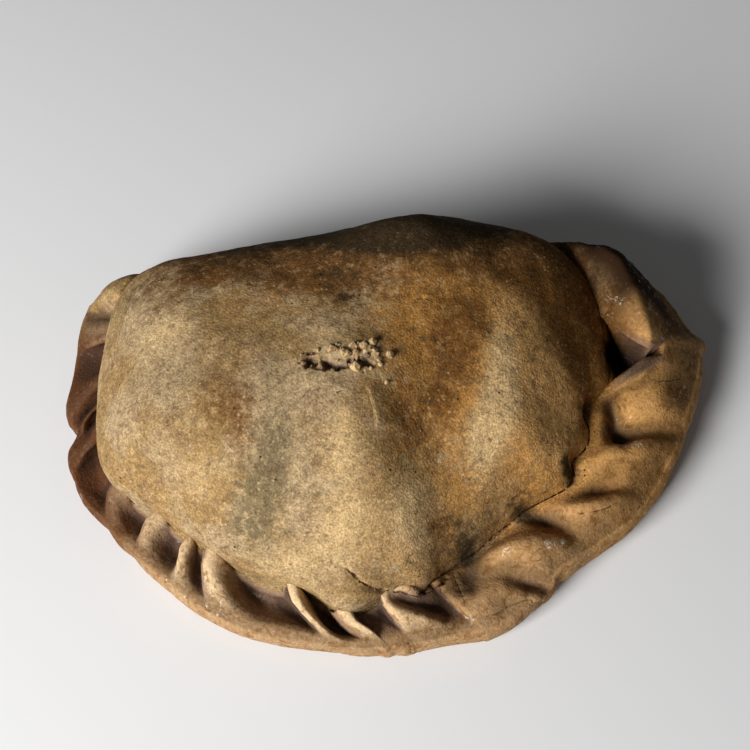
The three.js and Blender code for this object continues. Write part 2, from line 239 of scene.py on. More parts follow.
def along_and_across(points, x, y, half_length, half_width, turn):
    """Places of points along and across an ellipse in plan, in shares of its half length and half width."""
    c, s = math.cos(math.radians(turn)), math.sin(math.radians(turn))
    along = ((points[:, 0] - x) * c + (points[:, 1] - y) * s) / half_length
    across = ((points[:, 1] - y) * c - (points[:, 0] - x) * s) / half_width
    return along, across


def mounds(points, rows):
    """The sum of round rises at points in plan: x, y, half length, half width, turn in degrees, rise."""
    total = np.zeros(len(points))
    for *ellipse, rise in rows:
        along, across = along_and_across(points, *ellipse)
        total += rise * np.exp(-along ** 2 - across ** 2)
    return total


def places_across(lean, width):
    """Places across a pleat from its start (0) to its end (1), closer together round its rolled lip."""
    if lean == 0:
        return np.linspace(0, 1, HOLLOW_COLUMNS)
    slope = max(HOLLOW_COLUMNS - ROLL_COLUMNS, round(STATION_COLUMNS * width))
    places = np.concatenate([
        np.linspace(0, ROLL_FROM, slope, endpoint=False),
        np.linspace(ROLL_FROM, 1, ROLL_COLUMNS),
    ])
    return places if lean > 0 else 1 - places[::-1]


def make_columns():
    """The columns of the surface round the rim: each with its pleat's values and its place across it."""
    rows = []
    start = (FIRST_EDGE, FIRST_EDGE, 0)
    for pleat in PLEATS:
        seam_end, rim_end, lean = pleat[:3]
        width = seam_end - start[0]
        for place in places_across(lean, width):
            share = PLEAT_GAP / width / 2 + place * (1 - PLEAT_GAP / width)
            to_ridge = {1: place, 0: 0, -1: 1 - place}[int(lean)]
            rows.append((*pleat, *start, share, to_ridge, 0.3 + 0.7 * math.sin(math.pi * place)))
        start = (seam_end, rim_end, pleat[-1])
    back = BACK_COLUMNS + -(len(rows) + BACK_COLUMNS) % COLUMN_GROUP
    for k in range(back):
        rows.append((*BACK_EDGE, *start, (k + 1) / (back + 1), 0, 0))
    names = PLEAT_FIELDS + ("seam_start", "rim_start", "start_closes", "share", "to_ridge", "fullness")
    columns = SimpleNamespace(**dict(zip(names, np.array(rows).T)))
    columns.even = FIRST_EDGE + (np.arange(len(rows)) + 0.5) / len(rows) * len(STATIONS)
    columns.spread = columns.spread * columns.fullness
    return columns


def every(columns, step):
    return SimpleNamespace(**{name: values[::step] for name, values in vars(columns).items()})


def stations_of(columns, way):
    """Each column's station at a share of the way from the seam to the rim."""
    def edge(seam, rim, closes):
        turned = np.where(closes > 0, ease(way, 0, np.maximum(closes, 0.01)), way)
        return seam + (rim - seam) * turned
    start = edge(columns.seam_start, columns.rim_start, columns.start_closes)
    end = edge(columns.seam_end, columns.rim_end, columns.closes)
    return start + (end - start) * columns.share


def dome_ring(columns, turn):
    """The dome's points at a turn from its top (0) to the seam (a right angle)."""
    radius = math.sin(turn)
    at = columns.even + (stations_of(columns, 0.0) - columns.even) * ease(radius, EVEN_RADIUS, 1)
    slope = softened(lambda place: around("slope", place), at)
    flare = np.clip(around("flare", at), 0, 1)
    fall = np.maximum(1 - slope * radius ** 2 - (1 - slope) * radius ** 6, 0)
    rise = np.sqrt(fall) + (fall - np.sqrt(fall)) * flare
    sharp = curve("seam", at)
    soft = softened(lambda place: curve("seam", place), at)
    outline = soft + (sharp - soft) * ease(radius, 0.4, 0.95)
    over_seam = np.exp(-((rise - 0.25) / 0.2) ** 2) * ease(rise, 0, 0.15)
    bulge = around("bulge", at) * over_seam * ease(radius, 0.7, 0.95)
    tongue = shift_at(SEAM_SHIFTS, at) * ease(radius, 0.9, 1)
    points = APEX + (outline - APEX) * radius
    points = points + outward_from_apex(sharp) * (tongue + bulge)[:, None]
    seam_height = around("seam_height", at)
    lumps = mounds(points, DOME_LUMPS) * (1 - radius ** 8)
    height = seam_height + (DOME_HEIGHT - seam_height) * rise + lumps
    return np.column_stack([points, height])


def crimp_ring(columns, way):
    """The crimp's points at a share of the way out, and how far each is fold, ridge and scoop."""
    at = stations_of(columns, way)
    crimp = crimp_share(at)
    seam = seam_points(at)
    side = rim_points(at, columns.spread) - seam
    outward = side / np.maximum(np.linalg.norm(side, axis=1, keepdims=True), 1e-6)
    along = np.column_stack([-outward[:, 1], outward[:, 0]]) * columns.lean[:, None]

    gentle = np.clip(2 * around("flare", at) - 1, 0, 1)
    wall = ease(way, 0, WALL_END + GENTLE_WALL * gentle)
    ridge_fade = 1 - ease(way / columns.reach, 0.4, 1.1)
    scoop_fade = 1 - ease(way / columns.reach, 0.25, 1)
    on_ridge = ease(columns.to_ridge, columns.low, columns.high)
    in_scoop = 1 - ease(columns.to_ridge, columns.low - 0.12, columns.high)
    turn = math.pi * np.clip((columns.to_ridge - ROLL_FROM) / (1 - ROLL_FROM), 0, 1)

    roll_out = 0.8 * ease(columns.to_ridge, 0.5, ROLL_FROM) + np.sin(turn)
    overhang = RIDGE_OVERHANG * crimp * on_ridge * math.exp(-((way - 0.1) / 0.12) ** 2)
    points = seam + side * way
    points = points + along * (columns.roll * roll_out * ridge_fade * wall * crimp)[:, None]
    points = points - outward * overhang[:, None]

    crest, lip = around("crest", at), around("lip", at)
    arch = around("swell", at) * math.sin(math.pi * way) * (1 + (on_ridge - 1) * ridge_fade)
    raised = (columns.ridge * on_ridge - columns.roll * (1 - np.cos(turn))) * ridge_fade
    sunk = columns.scoop * in_scoop * scoop_fade + mounds(points, CRIMP_DENTS)
    face = np.maximum(crest + (lip - crest) * way + arch + raised - sunk, THINNEST)
    seam_height = around("seam_height", at)
    groove = seam_height - GROOVE_DEPTH * crimp * (1 - gentle)
    pleated = groove + (face - groove) * wall
    folded = seam_height + (0.8 * lip - seam_height) * way
    height = folded + (pleated - folded) * crimp
    # The undersides of rolled lips join the scoop mask, to be painted dark as their shade.
    under_lip = ease(columns.to_ridge, 0.93, 1) * ridge_fade
    pressed = gentle * (columns.lean != 0)
    scoop = np.maximum(np.clip(sunk / FULL_SCOOP, 0, 1) * (1 - 0.6 * pressed), under_lip)
    scoop = scoop * ease(way, 0, WALL_END) * crimp
    ridge = on_ridge * ridge_fade * wall * crimp
    return np.column_stack([points, height]), crimp * wall, ridge, scoop


def make_rings():
    """The rings of points from the top of the dome to the middle of the base, with their crust masks."""
    columns = make_columns()
    few = every(columns, 2)
    rings = []

    seam = dome_ring(columns, math.pi / 2)
    place = stations_of(columns, 0.0)
    cracked = np.zeros(len(seam))
    for start, end in SEAM_CRACKS:
        cracked += ease(place, start, start + SEAM_CRACK_END) * (1 - ease(place, end - SEAM_CRACK_END, end))

    def add(points, fold=0.0, ridge=0.0, scoop=0.0, under=0.0):
        masks = [np.broadcast_to(mask, len(points)) for mask in (fold, ridge, scoop, under)]
        if len(points) == len(seam):
            masks += [np.linalg.norm(points - seam, axis=1), cracked]
        else:
            masks += [np.full(len(points), FAR), np.zeros(len(points))]
        rings.append(np.column_stack([points, *masks]))

    for turn in np.linspace(0, TOP_TURN, TOP_RINGS + 1)[1:]:
        add(dome_ring(few, turn))
    for turn in np.linspace(TOP_TURN, math.pi / 2, DOME_RINGS + 1)[1:]:
        add(dome_ring(columns, turn))
    ways = np.concatenate([
        np.linspace(0, WALL_END, WALL_RINGS + 1)[1:],
        np.linspace(WALL_END, FACE_END, FACE_RINGS + 1)[1:],
    ])
    for way in ways:
        points, fold, ridge, scoop = crimp_ring(columns, way)
        add(points, fold, ridge, scoop)
    top = points
    rim = rim_points(stations_of(columns, 1.0), columns.spread)
    quarter = np.linspace(0, math.pi / 2, EDGE_RINGS + 1)[1:]
    for turn in quarter:
        over = top[:, :2] + (rim - top[:, :2]) * math.sin(turn)
        height = top[:, 2] * (EDGE_HEIGHT_SHARE + (1 - EDGE_HEIGHT_SHARE) * math.cos(turn))
        add(np.column_stack([over, height]), fold, ridge, scoop)
    inward = outward_from_apex(rim) * -EDGE_TUCK
    for turn in quarter:
        under = rim + inward * (1 - math.cos(turn))
        add(np.column_stack([under, height * (1 - math.sin(turn))]), fold, under=math.sin(turn))
    foot = under[::2]
    for share in BASE_RINGS:
        add(np.column_stack([APEX + (foot - APEX) * share, np.zeros(len(foot))]), under=1.0)
    return rings


def weave(rings):
    """Faces between the rings, and fans that close the surface at the top and under the base."""
    faces = []
    starts = np.cumsum([0] + [len(ring) for ring in rings])
    for upper, lower, a, b in zip(rings, rings[1:], starts, starts[1:]):
        n, m = len(upper), len(lower)
        i = np.arange(min(n, m))
        j = (i + 1) % len(i)
        if n == m:
            faces += np.column_stack([a + i, b + i, b + j, a + j]).tolist()
        elif n < m:
            faces += np.column_stack([a + i, b + 2 * i, b + 2 * i + 1]).tolist()
            faces += np.column_stack([a + i, b + 2 * i + 1, b + 2 * j, a + j]).tolist()
        else:
            faces += np.column_stack([a + 2 * i, b + i, a + 2 * i + 1]).tolist()
            faces += np.column_stack([a + 2 * i + 1, b + i, b + j, a + 2 * j]).tolist()
    top = starts[-1]
    i = np.arange(len(rings[0]))
    faces += np.column_stack([np.full(len(i), top), i, np.roll(i, -1)]).tolist()
    i = starts[-2] + np.arange(len(rings[-1]))
    faces += np.column_stack([np.full(len(i), top + 1), np.roll(i, -1), i]).tolist()
    return faces


# Fine relief: size and height of the broad unevenness, the small bumps and the grain of the crust, the
# wrinkles of the damp right end and the skin of the crimp; then the place in the noise that each is from.
BROAD_SIZE, BROAD_HEIGHT = 13, 0.5
BUMP_SIZE, BUMP_HEIGHT, BUMP_PLACE = 5, 0.16, 50
GRAIN_SIZE, GRAIN_HEIGHT, GRAIN_PLACE = 2.2, 0.07, 90
WRINKLE_SIZE, WRINKLE_HEIGHT, WRINKLE_PLACE = 3.5, 0.5, 30
SKIN_SIZE, SKIN_HEIGHT, SKIN_PLACE = 2.8, 0.22, 70

# The steam slit on top, torn open: its bed and the holes in it, as x, y, half length, half width, turn in
# degrees, depth; how ragged their edges are, and the depth that has the slit's full colour; then the
# crumbly places round it, with the share that is crumb last.
SLIT_BED = ((-11.5, 1.6, 8.5, 2.2, -2, 0.7),)
SLIT_HOLES = (
    (-17.2, 2.4, 2.4, 1.5, 10, 2.6),
    (-13, 1.1, 2.6, 1.1, -22, 2.4),
    (-10, 0.5, 1.9, 0.8, 5, 2),
    (-5.3, 1.8, 1.7, 1.1, -40, 2.2),
    (-16.8, 4.2, 1, 0.8, 0, 1.8),
    (-8, 2.2, 1.4, 0.6, 30, 1.4),
)
SLIT_RAGGED, SLIT_RAGGED_SIZE = 0.5, 1.3
FULL_SLIT = 1.5
CRUMBLY = (
    (-11, 4.4, 5, 1.8, -8, 1),
    (-3.6, 3, 2.6, 2.2, 0, 1),
    (-1, -1.6, 1.8, 0.9, -20, 0.9),
    (-7, -0.4, 4.5, 1, -12, 0.6),
)

# Cracks as lines on the surface: width, depth, how far the side on their left stands up, how dark they are,
# and their points; then how far their relief reaches and how ragged they are.
CRACKS = (
    # Edge of the flake under the slit, and the fine cracks beside it.
    dict(width=0.15, depth=0.05, step=0.5, dark=0.3, points=(
        (-5.2, -4.3, 45.7), (-4.1, -6.2, 45.6), (-3.4, -7.6, 45), (-3, -9.6, 44.2), (-2.8, -11.2, 43.5),
        (-3, -13.1, 42.5),
    )),
    dict(width=0.15, depth=0.15, step=0.1, dark=0.6, points=(
        (-15.4, -3.4, 45.8), (-16.7, -4.1, 45.3), (-18, -5.2, 44.7), (-19.3, -6.6, 44.1),
    )),
    dict(width=0.2, depth=0.2, step=0.1, dark=0.7, points=(
        (-11.2, -5.6, 45.9), (-10.3, -5.5, 46), (-9.7, -5.3, 46.1),
    )),
    # A lifted flake towards the back.
    dict(width=0.2, depth=0.2, step=0.3, dark=0.7, points=(
        (6.1, 18.5, 45.4), (8.2, 19.3, 45), (10.7, 18.5, 44.6),
    )),
    # The broken edge of the dome over the front tongue, and the tab at its right end.
    dict(width=0.4, depth=1, step=0.7, dark=1, points=(
        (-10.7, -36.2, 22.3), (-8.1, -37.9, 21.4), (-5, -39.9, 19), (-1.2, -39.5, 15.3), (3.6, -39.4, 12.5),
        (8.5, -38, 9.9), (11.8, -37.2, 11.7), (13.4, -34.8, 10.1), (14.1, -31.4, 10.8),
    )),
    dict(width=0.25, depth=0.4, step=0.4, dark=0.5, points=(
        (14.6, -31.4, 9.6), (15.4, -34.7, 10.1), (16.7, -38.1, 10.1), (17.9, -41.8, 10.5),
    )),
    # Cracks across the lobes at the right, the fold line of the highest one, and one in the front rim.
    dict(width=0.2, depth=0.3, step=0, dark=0.8, points=(
        (43.4, -21.3, 16), (47.5, -21, 16.3), (50.7, -20, 15.7), (54.2, -17.4, 14.9),
    )),
    dict(width=0.2, depth=0.3, step=0, dark=0.8, points=(
        (65, 11.3, 20), (68.6, 12.5, 18.8), (73.5, 15.5, 15.2),
    )),
    dict(width=0.15, depth=0.2, step=0, dark=0.5, points=(
        (54.3, 11.8, 19.2), (55, 8.6, 17.3), (57.5, 4.3, 16.1),
    )),
    dict(width=0.2, depth=0.4, step=0, dark=0.8, points=(
        (4.5, -48.5, 7.4), (4.9, -49.8, 6.3), (5.2, -50.4, 3.8),
    )),
    # Edge of the upper layer of dough at the front right, torn at its end.
    dict(width=0.25, depth=0.4, step=0.6, dark=0.6, points=(
        (21.5, -44, 9.4), (24.7, -42.9, 9.5), (28, -41.2, 9.3), (31.4, -39.7, 9.1), (34.9, -39.4, 6.9),
        (36.5, -38.1, 5.8),
    )),
)
CRACK_REACH = 2.5
CRACK_RAGGED, CRACK_RAGGED_SIZE = 0.35, 1.4

# Patches of the crust in plan: x, y, half length, half width, turn in degrees, strength. The first six are
# colours, some of them partly painted light and shade; the seventh darkens the folded right end,
# damp-looking crust that is partly painted shade, and the last has bright flecks painted as highlights.
PATCHES = dict(
    amber=(
        (34, 4, 26, 34, 0, 1),
        (64, 2, 18, 30, 0, 1),
        (10, -30, 16, 12, 0, 0.5),
        (8, 8, 12, 20, 0, 0.7),
        (-25, 22, 26, 12, 0, 0.4),
    ),
    pale=(
        (26, 8, 4.5, 8, 0, 0.85),
        (25.5, -3, 4.5, 7, 0, 1.05),
        (21, -11, 4.5, 7, 0, 1),
        (-13, 10, 5, 3, 0, 0.6),
        (-10, -16, 5, 8, 0, 0.8),
        (-9.5, -29, 6, 6, 0, 0.7),
        (-20, -35, 12, 4, 0, 0.6),
        (-54, 10, 7, 7, 0, 0.5),
        (-48, 15, 6, 5, 0, 0.6),
        (-20, 19, 4, 3, 0, 0.5),
        (-42, -19, 8, 6, 0, 0.5),
        (6, -27, 7, 8, 0, 1.1),
    ),
    golden=(
        # This row is golden crust and also painted light on a slope that faces away from the key light.
        (38, -3, 10, 10, 0, 1.4),
        (36, 13, 7, 8, 0, 1),
        (29, 18, 7, 6, 0, 0.9),
        (6, -33, 8, 5, 0, 0.8),
    ),
    grey=(
        # The first two rows paint the shade of a valley on the front of the dome.
        (-29, -25, 7, 9, 0, 1),
        (-24, -13, 4, 9, 0, 0.6),
        (-44, 30, 8, 5, 0, 0.6),
        (-62, 28, 6, 8, 0, 0.6),
        (26, -20, 7, 4, 40, 0.4),
        (19, -27, 6, 5, 40, 0.7),
    ),
    brown=(
        (15, 8.5, 5, 8, 0, 1.3),
        (19, 16, 6, 5, 0, 0.9),
        (11.4, -4, 5, 8, 0, 0.7),
        (2.4, -10, 5, 9, 0, 0.6),
        (4.7, -31, 6, 6, 0, 0.2),
        (-36, -6, 6, 6, 30, 0.7),
        (-32, -13, 4, 6, 0, 0.5),
        (12, 35, 30, 9, 0, 1),
        (30, 36, 14, 9, 0, 1.1),
        (41, 23, 7, 10, 0, 1.2),
        (42, 38, 9, 9, 0, 1.1),
        (-9, 23, 12, 7, 0, 0.6),
        (61, 26, 9, 8, 0, 1.3),
        (46, 9, 4.5, 11, 0, 1),
        (11.5, -27, 4, 4.5, 0, 0.7),
        (-36, 40, 26, 8, -8, 1.3),
        (-41, 30, 9, 5, 0, 0.9),
        (12, 57, 46, 9, 0, 0.9),
        (-48, 52, 26, 8, -10, 0.8),
        (-20, 26, 12, 6, 0, 0.6),
        (-52, 26, 10, 8, 0, 0.4),
    ),
    soot_and_shade=(
        # Dark crust at the back of the dome, partly painted shade.
        (-9, 20, 6, 5, 0, 0.55),
        (-13, 27, 6, 3, 0, 0.5),
        (3, 37, 14, 7, 0, 1.3),
        (10, 46, 30, 10, 0, 1.2),
        (-34, 45, 24, 6, -8, 0.8),
        (-41, 34, 14, 6, 0, 0.35),
        # Dark crust in the pressed creases of the crimp, partly painted shade.
        (18.5, -29.5, 3.5, 5, 30, 1),
        (12, -38.5, 5, 2, 0, 0.8),
        (32.5, -20, 4, 2.2, -5, 1),
        (42.5, -11, 2.6, 3, 0, 1),
        (54, 1.3, 3.2, 2, 10, 0.8),
        (19, -37, 2, 4, -20, 0.8),
    ),
    wet=(
        (64, 37, 17, 7, -20, 2),
        (50, 41, 10, 9, -35, 2.4),
        (52, 31, 4.5, 8, 0, 1.2),
    ),
    painted_glints=(
        (26.5, -30.5, 4, 2, 20, 1.1),
        (38, -28, 7, 3, 20, 1.1),
        (59, -4, 9, 3, 15, 1.1),
        (56, 29, 12, 3, -35, 0.97),
        (66, 31, 9, 3, -35, 0.97),
        (46, -17.5, 6, 2, 15, 1),
        (-12, -46, 5, 2, -20, 1),
    ),
)

# Places of the crimp that have the dome's crust: the lobe behind its left end.
DOME_COLOURED = ((-70, 43, 10, 10, 0, 1.5),)

# Heights between which the dark crust of the folded right end begins: damp-looking crust, partly painted
# shade.
DAMP_AND_SHADE_HEIGHTS = (10, 25)

# Places along the length between which the broad lobes of the crimp begin at the right, how much the painted
# shade of their hollows is weakened, and the distances to the left between which the crimp turns chestnut.
LOBES_BEGIN = (14, 28)
LOBES_WEAKEN = 0.7
LEFT_BEGINS = (50, 72)

# The open corner under the fold at the right end, painted near-black as its shade: its place in plan, and
# the heights between which the painted shade ends.
OPEN_CORNER = ((59, 19, 6, 5, 0, 2.5),)
OPEN_CORNER_TOP = (21, 25)

# Stations between which the seam beside the dome has cracked open, and the part in which a crack ends.
SEAM_CRACKS = ((6.8, 10.4), (11.3, 12.6))
SEAM_CRACK_END = 0.3

# Rounds of smoothing that show where the surface is hollow, and the depth of a full hollow.
HOLLOW_STEPS = 40
HOLLOW_SCALE = 0.8


def bumps(points, size, octaves):
    """Smooth random heights of about -1 to 1."""
    return np.array([noise.fractal(Vector(place), 1, 2, octaves) for place in (points / size).tolist()])


def line_offsets(points, normals, line):
    """Each point's distance from a line, negative on its right, and how far along it is, from 0 to 1."""
    line = np.array(line, float)
    best = np.full(len(points), np.inf)
    side = np.zeros(len(points))
    share = np.zeros(len(points))
    for k, (a, b) in enumerate(zip(line, line[1:])):
        step = b - a
        t = (points - a) @ step / (step @ step)
        from_line = points - a - np.clip(t, 0, 1)[:, None] * step
        far = np.linalg.norm(from_line, axis=1)
        nearer = far < best
        best[nearer] = far[nearer]
        left = np.einsum("ij,ij->i", np.cross(step, from_line), normals)
        side[nearer] = np.where(left[nearer] >= 0, 1, -1)
        share[nearer] = (k + np.clip(t[nearer], 0, 1)) / (len(line) - 1)
    return best * side, share


def crack_fields(points, normals):
    """The offset from the nearest crack, how open it is there, and the relief of all the cracks."""
    offset = np.full(len(points), CRACK_REACH)
    open_here = np.zeros(len(points))
    height = np.zeros(len(points))
    ragged = CRACK_RAGGED * bumps(points, CRACK_RAGGED_SIZE, 2)
    for crack in CRACKS:
        far, share = line_offsets(points, normals, crack["points"])
        far = far + ragged
        ends = ease(share, 0, 0.12) * (1 - ease(share, 0.85, 1))
        near = np.abs(far) < CRACK_REACH
        offset[near] = far[near] / crack["width"]
        open_here[near] = (crack["dark"] * ends * (1 - ease(np.abs(far), 1, CRACK_REACH)))[near]
        height -= crack["depth"] * ends * np.exp(-(far / (crack["width"] + 0.3)) ** 2)
        height += crack["step"] * ends * ease(far, -0.2, 0.3) * np.exp(-np.maximum(far, 0) / 5)
    return offset, open_here, height


def ragged_depth(points, rows):
    """Depth of ragged holes on top of the dome."""
    ragged = SLIT_RAGGED * bumps(points, SLIT_RAGGED_SIZE, 2)
    depth = np.zeros(len(points))
    for *ellipse, deep in rows:
        along, across = along_and_across(points, *ellipse)
        inside = 1 - ease(np.hypot(along, across) + ragged, 0.55, 1.05)
        depth = np.maximum(depth, deep * inside * (points[:, 2] > DOME_HEIGHT / 2))
    return depth


def hollows(points, normals, edges):
    """How far each point lies under (positive) or over the smoothed surface, 1 for a full hollow."""
    ends = np.concatenate([edges, edges[:, ::-1]])
    count = np.bincount(ends[:, 0], minlength=len(points))
    smooth = points.copy()
    for _ in range(HOLLOW_STEPS):
        sums = [np.bincount(ends[:, 0], smooth[ends[:, 1], axis], len(points)) for axis in range(3)]
        smooth = 0.5 * smooth + 0.5 * np.column_stack(sums) / count[:, None]
    return np.einsum("ij,ij->i", smooth - points, normals) / HOLLOW_SCALE


def mesh_from(name, points, faces):
    mesh = bpy.data.meshes.new(name)
    mesh.from_pydata((points * MM).tolist(), [], faces)
    mesh.shade_smooth()
    return mesh


def read_vectors(items, name):
    values = np.empty(len(items) * 3, np.float32)
    items.foreach_get(name, values)
    return values.reshape(-1, 3).astype(float)


def add_object(name, mesh, material):
    piece = bpy.data.objects.new(name, mesh)
    bpy.context.scene.collection.objects.link(piece)
    mesh.materials.append(material)
    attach(piece, "root")
    return piece


def set_mask(mesh, name, values):
    mesh.attributes.new(name, "FLOAT", "POINT").data.foreach_set("value", values.astype(np.float32))


def fine_relief(points, fold, wet, crumbly):
    """Height of the crust's unevenness, bumps, grain, wrinkles and skin."""
    height = BROAD_HEIGHT * bumps(points, BROAD_SIZE, 2)
    height += BUMP_HEIGHT * bumps(points + BUMP_PLACE, BUMP_SIZE, 2) * (1 - 0.6 * fold)
    height += GRAIN_HEIGHT * bumps(points + GRAIN_PLACE, GRAIN_SIZE, 2) * (1 - 0.8 * fold + 1.5 * crumbly)
    height += WRINKLE_HEIGHT * np.abs(bumps(points + WRINKLE_PLACE, WRINKLE_SIZE, 2)) * wet * fold
    height += SKIN_HEIGHT * np.abs(bumps(points + SKIN_PLACE, SKIN_SIZE, 2)) * fold
    return height


def make_turnover(material):
    """Makes the crust's piece; gives its offset from the drawing frame, and what places the crumbs."""
    rings = make_rings()
    high = DOME_HEIGHT + mounds(APEX[None], DOME_LUMPS)[0]
    poles = np.array([[*APEX, high, 0, 0, 0, 0, FAR, 0], [*APEX, 0, 0, 0, 0, 1, FAR, 0]])
    rows = np.concatenate(rings + [poles])
    points = rows[:, :3]
    fold, ridge, scoop, under, seam_gap, seam_open = rows[:, 3:].T
    fold = fold * (1 - np.clip(mounds(points, DOME_COLOURED), 0, 1))
    middle = (points.min(0) + points.max(0)) / 2
    offset = np.array([-middle[0], -middle[1], 0])
    mesh = mesh_from("turnover_crust", points + offset, weave(rings))
    normals = read_vectors(mesh.vertex_normals, "vector")
    edges = np.empty(len(mesh.edges) * 2, np.int32)
    mesh.edges.foreach_get("vertices", edges)

    crack_offset, crack_open, crack_height = crack_fields(points, normals)
    bed = ragged_depth(points, SLIT_BED)
    depth = ragged_depth(points, SLIT_HOLES)
    on_top = points[:, 2] > DOME_HEIGHT / 2
    crumbly = np.clip(mounds(points, CRUMBLY), 0, 1) * on_top
    patches = {name: np.clip(mounds(points, rows), 0, 1) for name, rows in PATCHES.items()}
    patches["wet"] *= ease(points[:, 2], *DAMP_AND_SHADE_HEIGHTS)
    hollow = hollows(points, normals, edges.reshape(-1, 2))
    # On the broad lobes at the right the painted shade of the hollows is weakened.
    on_lobes = ease(points[:, 0], *LOBES_BEGIN) * fold
    hollow = np.where(hollow > 0, hollow * (1 - LOBES_WEAKEN * on_lobes), hollow)
    height = fine_relief(points, fold, patches["wet"], crumbly) + (crack_height - depth - bed)
    points = points + normals * (height * (1 - under))[:, None]
    points[:, 2] = np.maximum(points[:, 2], 0)
    mesh.vertices.foreach_set("co", ((points + offset) * MM).ravel())
    mesh.update()

    # Where the open corner is painted near-black as its shade.
    corner_shade = np.clip(mounds(points, OPEN_CORNER), 0, 1) * (1 - ease(points[:, 2], *OPEN_CORNER_TOP))
    masks = dict(
        fold=fold, ridge=ridge, scoop=scoop, corner_shade=corner_shade, under=under,
        hollow=np.clip(0.5 + 0.5 * hollow, 0, 1),
        crack_offset=crack_offset, crack_open=crack_open,
        seam_gap=seam_gap, seam_open=seam_open,
        slit=np.clip((depth + 0.4 * bed) / FULL_SLIT, 0, 1),
        crumbly=crumbly,
        **patches,
        left=ease(-points[:, 0], *LEFT_BEGINS) * fold,
    )
    for name, values in masks.items():
        set_mask(mesh, name, values)
    piece = add_object("turnover_crust", mesh, material)
    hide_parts("turnover")
    return SimpleNamespace(offset=offset, points=points, normals=normals, crumbly=crumbly, depth=depth)


# Crumbs: the seed of their places and forms, the number of either kind, their smallest and largest radius,
# the share of it by which they stand out, and the faces of the body that each is squeezed from.
CRUMB_SEED = 7
PALE_CRUMBS = 50
DARK_CRUMBS = 30
CRUMB_SIZES = (0.4, 1.3)
CRUMB_STANDS_OUT = 0.2
CRUMB_ROUGHNESS = 0.85
ICOSAHEDRON = (
    (0, 11, 5), (0, 5, 1), (0, 1, 7), (0, 7, 10), (0, 10, 11),
    (1, 5, 9), (5, 11, 4), (11, 10, 2), (10, 7, 6), (7, 1, 8),
    (3, 9, 4), (3, 4, 2), (3, 2, 6), (3, 6, 8), (3, 8, 9),
    (4, 9, 5), (2, 4, 11), (6, 2, 10), (8, 6, 7), (9, 8, 1),
)


def icosahedron_points():
    g = (1 + math.sqrt(5)) / 2
    points = [(-1, g, 0), (1, g, 0), (-1, -g, 0), (1, -g, 0), (0, -1, g), (0, 1, g)]
    points += [(0, -1, -g), (0, 1, -g), (g, 0, -1), (g, 0, 1), (-g, 0, -1), (-g, 0, 1)]
    return np.array(points) / math.hypot(1, g)


def make_crumbs(name, crust, chance, count, material):
    """Crumbs of broken crust, joined in one mesh: each place's chance says where they lie."""
    draw = np.random.default_rng(CRUMB_SEED)
    places = draw.choice(len(chance), count, replace=False, p=chance / chance.sum())
    ball = icosahedron_points()
    faces = np.array(ICOSAHEDRON)
    all_points, all_faces = [], []
    for k, place in enumerate(places):
        size = CRUMB_SIZES[0] + (CRUMB_SIZES[1] - CRUMB_SIZES[0]) * draw.random() ** 2
        lump = ball * draw.uniform(0.65, 1.2, (len(ball), 1)) * draw.uniform(0.7, 1.2, 3) * size
        all_points.append(lump + crust.points[place] + crust.normals[place] * size * CRUMB_STANDS_OUT)
        all_faces.append(faces + k * len(ball))
    mesh = mesh_from(name, np.concatenate(all_points) + crust.offset, np.concatenate(all_faces).tolist())
    mesh.shade_flat()
    add_object(name, mesh, material)


class Paint:
    """Short calls that add shader nodes to a material; a value is a number, a colour or a node's output."""

    def __init__(self, name):
        self.material = bpy.data.materials.new(name)
        self.material.use_nodes = True
        self.tree = self.material.node_tree
        self.shader = self.tree.nodes["Principled BSDF"]
        self.place = self.add("ShaderNodeTexCoord").outputs["Object"]

    def add(self, kind, inputs=(), **settings):
        node = self.tree.nodes.new(kind)
        for name, value in settings.items():
            setattr(node, name, value)
        for key, value in dict(inputs).items():
            self.feed(node.inputs[key], value)
        return node

    def feed(self, socket, value):
        if isinstance(value, bpy.types.NodeSocket):
            self.tree.links.new(value, socket)
        elif isinstance(value, tuple) and len(value) == 3 and socket.type == "RGBA":
            socket.default_value = (*value, 1)
        else:
            socket.default_value = value

    def mask(self, name):
        return self.add("ShaderNodeAttribute", attribute_name=name).outputs["Fac"]

    def noise(self, size, detail=2.0, roughness=0.5, warp=0.0):
        """Noise with features of about this size in millimetres."""
        inputs = {"Vector": self.place, "Scale": 1 / (size * MM), "Detail": detail}
        inputs |= {"Roughness": roughness, "Distortion": warp}
        return self.add("ShaderNodeTexNoise", inputs).outputs["Fac"]

    def dots(self, size):
        """Distance from points scattered in cells of about this size in millimetres, and a cell's number."""
        cells = self.add("ShaderNodeTexVoronoi", {"Vector": self.place, "Scale": 1 / (size * MM)})
        numbers = self.add("ShaderNodeSeparateColor", {0: cells.outputs["Color"]})
        return cells.outputs["Distance"], numbers.outputs[0]

    def math(self, operation, a, b=0.0):
        return self.add("ShaderNodeMath", {0: a, 1: b}, operation=operation).outputs[0]

    def ramp(self, value, low, high, start=0.0, end=1.0):
        inputs = {"Value": value, "From Min": low, "From Max": high, "To Min": start, "To Max": end}
        return self.add("ShaderNodeMapRange", inputs, interpolation_type="SMOOTHSTEP").outputs["Result"]

    def mix(self, share, a, b):
        node = self.add("ShaderNodeMix", data_type="RGBA")
        for socket, value in ((node.inputs[0], share), (node.inputs[6], a), (node.inputs[7], b)):
            self.feed(socket, value)
        return node.outputs[2]

    def brightness(self, colour, value):
        return self.add("ShaderNodeHueSaturation", {"Color": colour, "Value": value}).outputs["Color"]

    def bump(self, height, distance, normal=None):
        inputs = {"Height": height, "Distance": distance * MM}
        if normal is not None:
            inputs["Normal"] = normal
        return self.add("ShaderNodeBump", inputs).outputs["Normal"]
